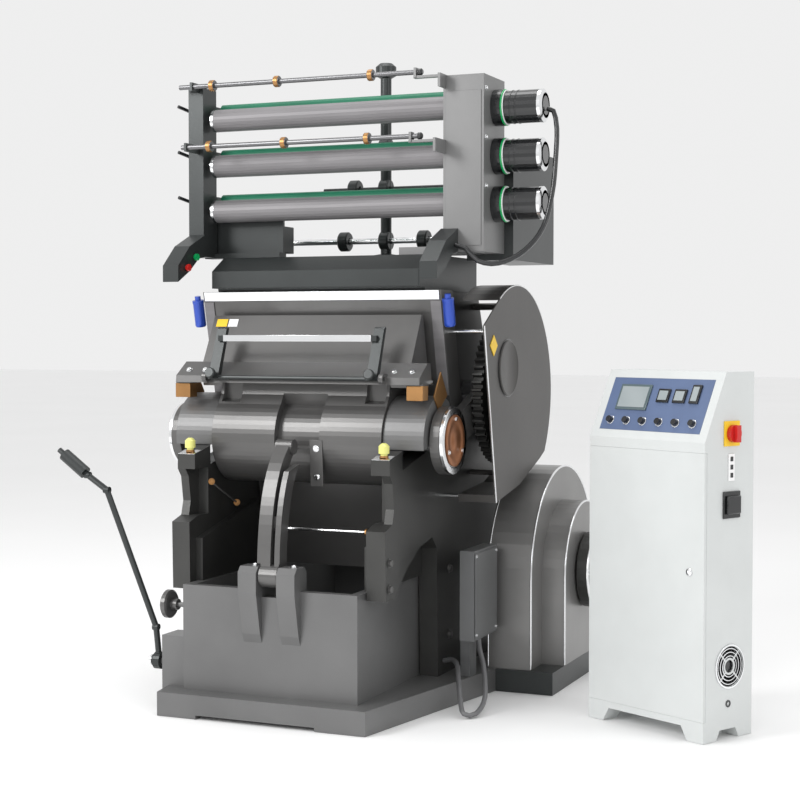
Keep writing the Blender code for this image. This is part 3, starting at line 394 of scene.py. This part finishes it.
def platen_trim():
    for side, label in ((-1, "left"), (1, "right")):
        low, high = sorted((side * 0.3825, side * 0.4375))
        prism("guide_bronze_" + label, [(-0.3445, 0.9905), (-0.3445, 1.037), (-0.2985, 1.037), (-0.2985,
                0.9905)],
              low, high, BRASS, "platen", 0.002)
        low, high = sorted((side * 0.4388, side * 0.4435))
        prism("guide_cheek_" + label, [(-0.150, 1.002), (-0.205, 1.078), (-0.262, 1.002), (-0.222, 0.956)],
              low, high, BRASS, "platen", 0.001)
        lathe("cheek_stud_" + label, [(0, 0), (0, 0.007), (0.012, 0.007), (0.012, 0)], (side * 0.428,
                -0.262, 1.046),
              (side, 0, 0), POLISHED, "platen", 16)
        low, high = sorted((side * 0.262, side * 0.296))
        prism("gripper_pad_" + label, [(-0.3185, 1.196), (-0.305, 1.219), (-0.303, 1.219), (-0.300, 1.212)],
              low - 0.001, high + 0.001, DARK_GREY, "gripper", 0.0005)
        knob_x = side * 0.279
        lathe("gripper_knob_" + label, [(0, 0), (0, 0.014), (0.004, 0.017), (0.014, 0.017), (0.018, 0.014),
                (0.018, 0)],
              (knob_x, -0.3865, 1.070), (0, -1, 0.25), DARK_GREY, "gripper")
        for x in (0.335, 0.395):
            bolt("ledge_bolt_%s_%d" % (label, round(x * 1000)), 0.008, (side * x, -0.326, 1.079), (0, -0.55,
                    0.83),
                 POLISHED, "platen")
    prism("gripper_bar_polish", [(-0.3415, 1.173), (-0.3415, 1.1935), (-0.3245, 1.1935), (-0.3245, 1.173)],
          -0.2615, 0.2615, POLISHED, "gripper", 0.001)
    plate = [(-0.3535, 0.862), (-0.3475, 0.862), (-0.3375, 0.715), (-0.3435, 0.715)]
    prism("stop_plate", plate, 0.054, 0.098, MID_GREY, "platen", 0.001)
    for n, z in ((1, 0.835), (2, 0.745)):
        bolt("stop_plate_bolt_%d" % n, 0.008, (0.076, -0.3525 + (0.862 - z) * 0.068, z), (0, -1, -0.07),
                POLISHED,
             "platen")
    # two plain plates on the platen's leaning front
    lean = Matrix.Rotation(math.atan2(-0.091, 0.167), 4, "X")
    for name, x, width, colour in (("yellow_patch", -0.338, 0.020, YELLOW), ("plain_label", -0.296, 0.017,
        WHITE)):
        slab(name, (-width, -0.0015, -0.014), (width, -0.0004, 0.014), colour, "platen", 0.0,
             Matrix.Translation((x, -0.2076, 1.233)) @ lean)
    for side, label in ((-1, "left"), (1, "right")):
        face = Vector((side, 0, 0))
        centre = (side * 0.4872, *TRUNNION)
        body = "carriage"
        lathe("trunnion_face_" + label, [(0, 0.0), (0, 0.080), (0.002, 0.082), (0.004, 0.078), (0.004, 0.060),
                                         (0.0025, 0.057), (0.0025, 0.030), (0.005, 0.026), (0.005, 0.0)],
              centre, face, DISC_BROWN, body)
        ring("trunnion_ring_" + label, 0.088, 0.1065, 0.012, (side * 0.4755, *TRUNNION), face, POLISHED,
             label + "_arm")
        for i in range(3):
            angle = math.radians(120 * i + 90)
            where = (side * 0.4905, TRUNNION[0] + 0.068 * math.cos(angle),
                TRUNNION[1] + 0.068 * math.sin(angle))
            bolt("trunnion_screw_%s_%d" % (label, i + 1), 0.0055, where, face, POLISHED, body)


def press_trim():
    for side, label in ((-1, "left"), (1, "right")):
        low, high = sorted((side * 0.3095, side * 0.3695))
        track = [(-0.443, 0.8128), (-0.4015, 0.8224), (-0.4015, 0.8236), (-0.443, 0.8140)]
        prism("track_face_" + label, track, low, high, POLISHED, "press", 0.0)
        x = side * 0.340
        lathe("oil_cup_" + label, [(0, 0), (0, 0.011), (0.010, 0.011), (0.012, 0.017), (0.034, 0.017),
                (0.040, 0.012),
                                   (0.044, 0.006), (0.044, 0)], (x, -0.4185, 0.8197), (0, 0, 1), CUP,
                                       "press", 24)
        lathe("oil_base_" + label, [(0, 0), (0, 0.014), (0.006, 0.014), (0.006, 0)], (x, -0.4185, 0.8187),
                (0, 0, 1),
              BRASS, "press", 12)
        cylinder_x = side * 0.452
        lathe("air_cylinder_" + label, [(0, 0), (0, 0.016), (0.006, 0.019), (0.012, 0.0185), (0.078, 0.0185),
                                        (0.082, 0.0195), (0.090, 0.0195), (0.092, 0.010), (0.104, 0.010),
                                            (0.104, 0)],
              (cylinder_x, -0.150, 1.222), (0, -0.22, 0.975), BLUE, "press", 28)
        for z, height in ((0.50, "lower"), (0.42, "foot")):
            bolt("frame_bolt_%s_%s" % (label, height), 0.011, (side * 0.3715, -0.45, z), (side, 0, 0),
                    MID_GREY, "press")
        for y, z in ((0.05, 0.20), (0.05, 0.42), (0.40, 0.20), (0.30, 0.80), (0.10, 1.22)):
            if side < 0 or z < 0.5:
                bolt("side_bolt_%s_%d_%d" % (label, y * 100, z * 100), 0.012, (side * 0.3715, y, z), (side,
                        0, 0),
                     MID_GREY, "press")
    pipe("cross_rod", [(0.0, -0.400, 0.585), (0.284, -0.400, 0.585)], 0.0045, POLISHED, "press", smooth=False)
    bolt("cross_rod_nut", 0.009, (0.276, -0.400, 0.585), (-1, 0, 0), BRASS, "press")
    pipe("cover_stay_high", [(0.372, -0.095, 1.205), (0.556, -0.095, 1.205)], 0.006, POLISHED, "press",
            smooth=False)
    pipe("cover_stay_low", [(0.3715, 0.0, 0.668), (0.556, 0.0, 0.668)], 0.007, POLISHED, "press",
            smooth=False)
    pipe("oil_pipe", [(-0.300, -0.348, 0.715), (-0.285, -0.335, 0.697), (-0.270, -0.28, 0.662), (-0.282,
            -0.22, 0.640)],
         0.003, MID_GREY, "press")
    for i, where in enumerate(((-0.300, -0.352, 0.718), (-0.282, -0.215, 0.638))):
        bolt("oil_pipe_nut_%d" % (i + 1), 0.008, where, (0.6, -0.8, 0.2), BRASS, "press")
    for i, x in enumerate((-0.045, 0.088)):
        bolt("link_cap_bolt_%d" % (i + 1), 0.009, (x, -0.530, 0.4815), (0, 0, 1), POLISHED, "press")
    lathe("lever_cap", [(0, 0), (0, 0.018), (0.006, 0.018), (0.010, 0.012), (0.010, 0)], (-0.4625, -0.45,
            0.141),
          (-1, 0, 0), POLISHED, "press")
    ring("link_collar", 0.0175, 0.030, 0.003, (0.0432, -0.53, 0.452), (1, 0, 0), POLISHED, "link")


def covers_trim():
    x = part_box("gear_cover")[1][0]
    lathe("gear_cover_cap", [(0, 0.092), (0.004, 0.092), (0.006, 0.088), (0.003, 0.082), (0.003, 0.0)],
          (x + 0.0002, 0.096, 1.085), (1, 0, 0), COVER_GREY, "press", 48)
    ring("gear_cover_gasket", 0.0921, 0.096, 0.0015, (x + 0.0002, 0.096, 1.085), (1, 0, 0), BLACK, "press")
    # Polished strips along the gear cover's rim and front edge: painted highlights where the painted cover's
    # edges catch the light.
    edge = [(x - 0.002, y, z) for y, z in arc(MAIN_SHAFT, 0.3585, 120, -36, 40)]
    pipe("gear_cover_edge_highlight", edge, 0.0025, POLISHED, "press")
    front = [(-0.134, 1.222), (-0.018, 0.651)]
    run = Vector((front[1][0] - front[0][0], front[1][1] - front[0][1])).normalized()
    side = Vector((-run.y, run.x)) * 0.008
    strip = [(front[0][0], front[0][1]), (front[1][0], front[1][1]),
             (front[1][0] + side.x, front[1][1] + side.y), (front[0][0] + side.x, front[0][1] + side.y)]
    prism("gear_cover_front_highlight", strip, x + 0.0002, x + 0.0012, POLISHED, "press", 0.0)
    slab("plain_diamond", (-0.001, -0.024, -0.024), (0.001, 0.024, 0.024), YELLOW, "press", 0.0,
         Matrix.Translation((x + 0.0015, -0.045, 1.16)) @ Matrix.Rotation(math.radians(45), 4, "X"))
    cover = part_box("flywheel_cover")
    # Polished beads along the flywheel cover's edges: painted highlights where the painted cover's edges
    # catch the light.
    for name, radius, at in (("outer", 0.359, cover[1][0] - 0.080), ("step", 0.239, cover[1][0])):
        curve = [(at, y, z) for y, z in arc(FLYWHEEL, radius, 180, 0, 40)]
        legs = [(at, FLYWHEEL[0] - radius, 0.08)] + curve + [(at, FLYWHEEL[0] + radius, 0.08)]
        pipe("flywheel_cover_highlight_" + name, legs, 0.0035, POLISHED, "press", smooth=False)
    inner = [(cover[0][0], y, z) for y, z in arc(FLYWHEEL, 0.359, 180, 0, 40)]
    pipe("flywheel_cover_highlight_inner", [(cover[0][0], FLYWHEEL[0] - 0.359, 0.08)] + inner, 0.003, POLISHED,
            "press",
         smooth=False)
    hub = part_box("flywheel")[1][0]
    ring("flywheel_hub_ring", 0.112, 0.1305, 0.004, (0.7421, *FLYWHEEL), (1, 0, 0), POLISHED, "flywheel")
    lathe("flywheel_hub_cap", [(0, 0), (0, 0.052), (0.004, 0.048), (0.006, 0.020), (0.006, 0)], (hub,
            *FLYWHEEL),
          (1, 0, 0), POLISHED, "flywheel")
    for i in range(6):
        angle = math.radians(60 * i)
        bolt("hub_bolt_%d" % (i + 1), 0.007, (0.7381, FLYWHEEL[0] + 0.082 * math.cos(angle),
                                              FLYWHEEL[1] + 0.082 * math.sin(angle)), (1, 0, 0), POLISHED,
                                                  "flywheel")
    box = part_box("junction_box")
    slab("junction_lid", (box[1][0] + 0.0003, box[0][1] + 0.008, 0.218), (box[1][0] + 0.003,
            box[1][1] - 0.008, 0.492),
         BOX_GREY, "press", 0.001)
    for y in (box[0][1] + 0.018, box[1][1] - 0.018):
        for z in (0.228, 0.482):
            bolt("lid_screw_%d_%d" % (round(y * 1000), round(z * 1000)), 0.004, (box[1][0] + 0.003, y, z),
                    (1, 0, 0),
                 POLISHED, "press")


# ---- foil feed ----------------------------------------------------------------------------------
def foil_trim():
    for n in (1, 2, 3):
        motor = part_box("foil_motor_%d" % n)
        centre = ((motor[0][1] + motor[1][1]) / 2, (motor[0][2] + motor[1][2]) / 2)
        lathe("motor_end_cap_%d" % n, [(0, 0.0525), (0.010, 0.0525), (0.013, 0.046), (0.0155, 0.0405),
                (0.0155, 0.030),
                                       (0.0135, 0.027), (0.0135, 0)], (0.7195, *centre), (1, 0, 0),
                                           POLISHED, "press")
        ring("motor_badge_%d" % n, 0.0521, 0.0578, 0.006, (0.6002, *centre), (1, 0, 0), GREEN, "press")
        ring("motor_badge_rim_%d" % n, 0.0521, 0.0560, 0.003, (0.6065, *centre), (1, 0, 0), WHITE, "press")
        for k in range(2):
            ring("motor_rib_%d_%d" % (n, k + 1), 0.0518, 0.0535, 0.004, (0.628 + 0.018 * k, *centre), (1, 0,
                    0), BLACK,
                 "press")
        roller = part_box("feed_roller_%d" % n)
        height = (roller[0][2] + roller[1][2]) / 2
        for x, label in ((roller[0][0] + 0.039, "left"), (roller[1][0] - 0.0265, "right")):
            lathe("roller_collar_%d_%s" % (n, label), [(0, 0.0375), (0, 0.0385), (0.010, 0.0385), (0.010,
                    0.0375)],
                  (x, -0.11, height), (1, 0, 0), POLISHED, "feed_roller_%d" % n)
        bolt("bearing_nut_%d" % n, 0.009, (-0.4892, -0.125, height - 0.012), (-1, 0, 0), BRASS, "press")
        for y, tag in ((-0.145, "front"), (0.012, "rear")):
            bolt("gearbox_screw_%d_%s" % (n, tag), 0.006, (0.5692, y, height + 0.052), (1, 0, 0), POLISHED,
                    "press")
    for n in (1, 2):
        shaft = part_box("foil_shaft_%d" % n)
        middle = ((shaft[0][1] + shaft[1][1]) / 2, (shaft[0][2] + shaft[1][2]) / 2)
        collars = ((-0.375, -0.135, 0.20), (-0.365, -0.09, 0.205))[n - 1]
        for k, x in enumerate(collars):
            ring("foil_collar_%d_%d" % (n, k + 1), 0.0172, 0.0185, 0.016, (x - 0.008, *middle), (1, 0, 0),
                    BRASS,
                 "foil_shaft_%d" % n, sides=24)
        lathe("shaft_tip_%d" % n, [(0, 0.0082), (0, 0.011), (0.010, 0.011), (0.014, 0.007), (0.014, 0)],
              (shaft[1][0] - 0.0005, *middle), (1, 0, 0), BLACK, "foil_shaft_%d" % n, 20)
    slab("gearbox_cover", (0.441, -0.1655, 1.475), (0.561, -0.1633, 1.960), GEARBOX, "press", 0.001)
    pipe("tie_shaft_low", [(-0.40, 0.25, 1.520), (0.439, 0.25, 1.520)], 0.011, POLISHED, "press",
            smooth=False)
    pipe("tie_shaft_high", [(-0.18, 0.25, 1.700), (0.439, 0.25, 1.700)], 0.008, DARK_GREY, "press",
            smooth=False)
    pipe("tie_shaft_top", [(-0.02, 0.25, 1.842), (0.30, 0.25, 1.842)], 0.006, DARK_GREY, "press",
            smooth=False)
    for i, (x, z) in enumerate(((-0.10, 1.520), (0.057, 1.520), (0.20, 1.520), (-0.06, 1.700), (0.057, 1.700),
                                (0.057, 1.842))):
        lathe("tie_clamp_%d" % (i + 1), [(-0.018, 0.013), (-0.018, 0.030), (-0.014, 0.034), (0.014, 0.034),
                                         (0.018, 0.030), (0.018, 0.013)], (x, 0.25, z), (1, 0, 0),
                                             DARK_GREY, "press", 24)
    slab("back_drive_box", (-0.34, -0.045, 1.470), (-0.19, 0.03, 1.560), DARK_GREY, "press", 0.003)


# ---- cabinet ------------------------------------------------------------------------------------
def cabinet_trim():
    along = Vector(JOINTS["switch_turn"]["axis"]).normalized()
    hinge = Vector(JOINTS["door_swing"]["pos_m"])
    corner = Vector((hinge.x, hinge.y, 0)) - along * 0.0005
    axes = Matrix.Translation(corner) @ Matrix.Rotation(math.atan2(along.y, along.x), 4, "Z")
    slope = Vector((0, CONSOLE_DEEP, CONSOLE_TALL)).normalized()
    console = axes @ Matrix.Translation((0, 0, CONSOLE_FOOT)) @ Matrix((
        (1, 0, 0, 0), (0, slope.y, -slope.z, 0), (0, slope.z, slope.y, 0), (0, 0, 0, 1)))
    # on the console: X runs across, Y up the slope and Z straight out of it
    lift = 0.0006
    def on_console(name, x0, x1, y0, y1, z0, z1, material, edge=0.001):
        return slab(name, (x0, y0, z0 + lift), (x1, y1, z1 + lift), material, "press", edge, console)
    on_console("screen_bezel", 0.072, 0.196, 0.092, 0.176, 0.0, 0.005, DIAL)
    on_console("screen_glass", 0.080, 0.188, 0.100, 0.168, 0.0052, 0.0062, SCREEN, 0.0)
    for i, x in enumerate((0.228, 0.292, 0.356)):
        width = 0.046 if i < 2 else 0.034
        tall = 0.044 if i < 2 else 0.060
        on_console("meter_bezel_%d" % (i + 1), x, x + width, 0.120, 0.120 + tall, 0.0, 0.006, BLACK)
        on_console("meter_face_%d" % (i + 1), x + 0.006, x + width - 0.006, 0.127, 0.113 + tall, 0.0062,
                0.0072, SCREEN,
                   0.0)
    for n in range(1, 7):
        face = -Vector(JOINTS["console_press_%d" % n]["axis"]).normalized()
        where = console @ Vector((CABINET_WIDTH * (0.145 + 0.142 * (n - 1)), 0.25 * CONSOLE_SLOPE, lift))
        ring("button_collar_%d" % n, 0.0112, 0.0140, 0.0028, where, face, POLISHED, "press", sides=28)
    width = CABINET_WIDTH
    def on_side(name, y0, y1, z0, z1, x0, x1, material, edge=0.001):
        return slab(name, (width + x0, y0, z0), (width + x1, y1, z1), material, "press", edge, axes)
    on_side("switch_plate", 0.083, 0.153, 0.868, 0.942, 0.0003, 0.004, YELLOW)
    on_side("slot_plate", 0.104, 0.132, 0.765, 0.845, 0.0003, 0.0025, WHITE)
    # Three black slabs on the slot plate: painted shade standing in for the dark inside the vent slots.
    for i in range(3):
        on_side("slot_shade_%d" % (i + 1), 0.112, 0.124, 0.775 + 0.024 * i, 0.789 + 0.024 * i, 0.0026, 0.004,
                BLACK)
    on_side("socket_plate", 0.080, 0.156, 0.655, 0.735, 0.0003, 0.006, BLACK, 0.002)
    on_side("socket_lid", 0.088, 0.148, 0.668, 0.722, 0.0062, 0.016, BLACK, 0.003)
    face = along
    fan = Vector(JOINTS["fan_turn"]["pos_m"])
    ring("fan_rim", 0.061, 0.066, 0.003, fan + along * 0.0203, face, POLISHED, "press")
    ring("fan_well", 0.0575, 0.0597, 0.011, fan + along * 0.0085, face, BLACK, "press")
    for i in range(3):
        ring("fan_wire_%d" % (i + 1), 0.030 + 0.011 * i, 0.0325 + 0.011 * i, 0.0015, fan + along * 0.0190,
                face,
             POLISHED, "press", sides=36)
    ring("side_hole", 0.006, 0.011, 0.002, axes @ Vector((width + 0.0003, 0.112, 0.105)), face, BLACK,
            "press", 20)
    lock = axes @ Vector((0.405, -0.0003, 0.50))
    lathe("door_lock", [(0, 0), (0, 0.011), (0.003, 0.011), (0.004, 0.009), (0.004, 0.004), (0.002, 0.003),
            (0.002, 0)],
          lock, -(axes.to_3x3() @ Vector((0, 1, 0))), POLISHED, "door", 24)


# ---- stage ----------------------------------------------------------------------------------------
def stage():
    shape = bmesh.new()
    bmesh.ops.create_grid(shape, x_segments=1, y_segments=1, size=40.0)
    mesh = bpy.data.meshes.new("floor")
    shape.to_mesh(mesh)
    shape.free()
    mesh.materials.append(FLOOR)
    floor = bpy.data.objects.new("floor", mesh)
    floor.location.z = -0.001
    bpy.context.scene.collection.objects.link(floor)


def light(name, where, aim, size, power):
    lamp = bpy.data.lights.new(name, "AREA")
    lamp.shape = "RECTANGLE"
    lamp.size, lamp.size_y = size
    lamp.energy = power
    made = bpy.data.objects.new(name, lamp)
    made.location = where
    made.rotation_euler = (Vector(aim) - Vector(where)).to_track_quat("-Z", "Y").to_euler()
    bpy.context.scene.collection.objects.link(made)


def lights():
    middle = (0.2, 0, 1.0)
    light("key", (-2.6, -4.2, 3.6), middle, (1.6, 2.4), 150)
    light("front", (1.2, -5.8, 2.4), middle, (3.0, 1.6), 40)
    light("right_edge", (4.2, -0.6, 2.2), middle, (0.7, 3.0), 18)
    light("top", (0.2, 0.2, 4.8), middle, (3.0, 2.0), 55)
    world = bpy.data.worlds.new("studio")
    world.use_nodes = True
    world.node_tree.nodes["Background"].inputs["Color"].default_value = (1, 1, 1, 1)
    world.node_tree.nodes["Background"].inputs["Strength"].default_value = 0.86
    bpy.context.scene.world = world
    bpy.context.scene.view_settings.view_transform = "Standard"


def camera():
    lens = bpy.data.cameras.new("camera")
    lens.sensor_width = 36.0
    lens.lens = 74.25
    made = bpy.data.objects.new("camera", lens)
    made.location = (2.352, -5.033, 1.2)
    made.rotation_euler = (math.radians(90 - 2.325), 0, math.radians(23))
    bpy.context.scene.collection.objects.link(made)
    bpy.context.scene.camera = made


camera()
cables()
finish_cad_nodes()
bed_trim()
platen_trim()
press_trim()
covers_trim()
foil_trim()
cabinet_trim()
stage()
lights()
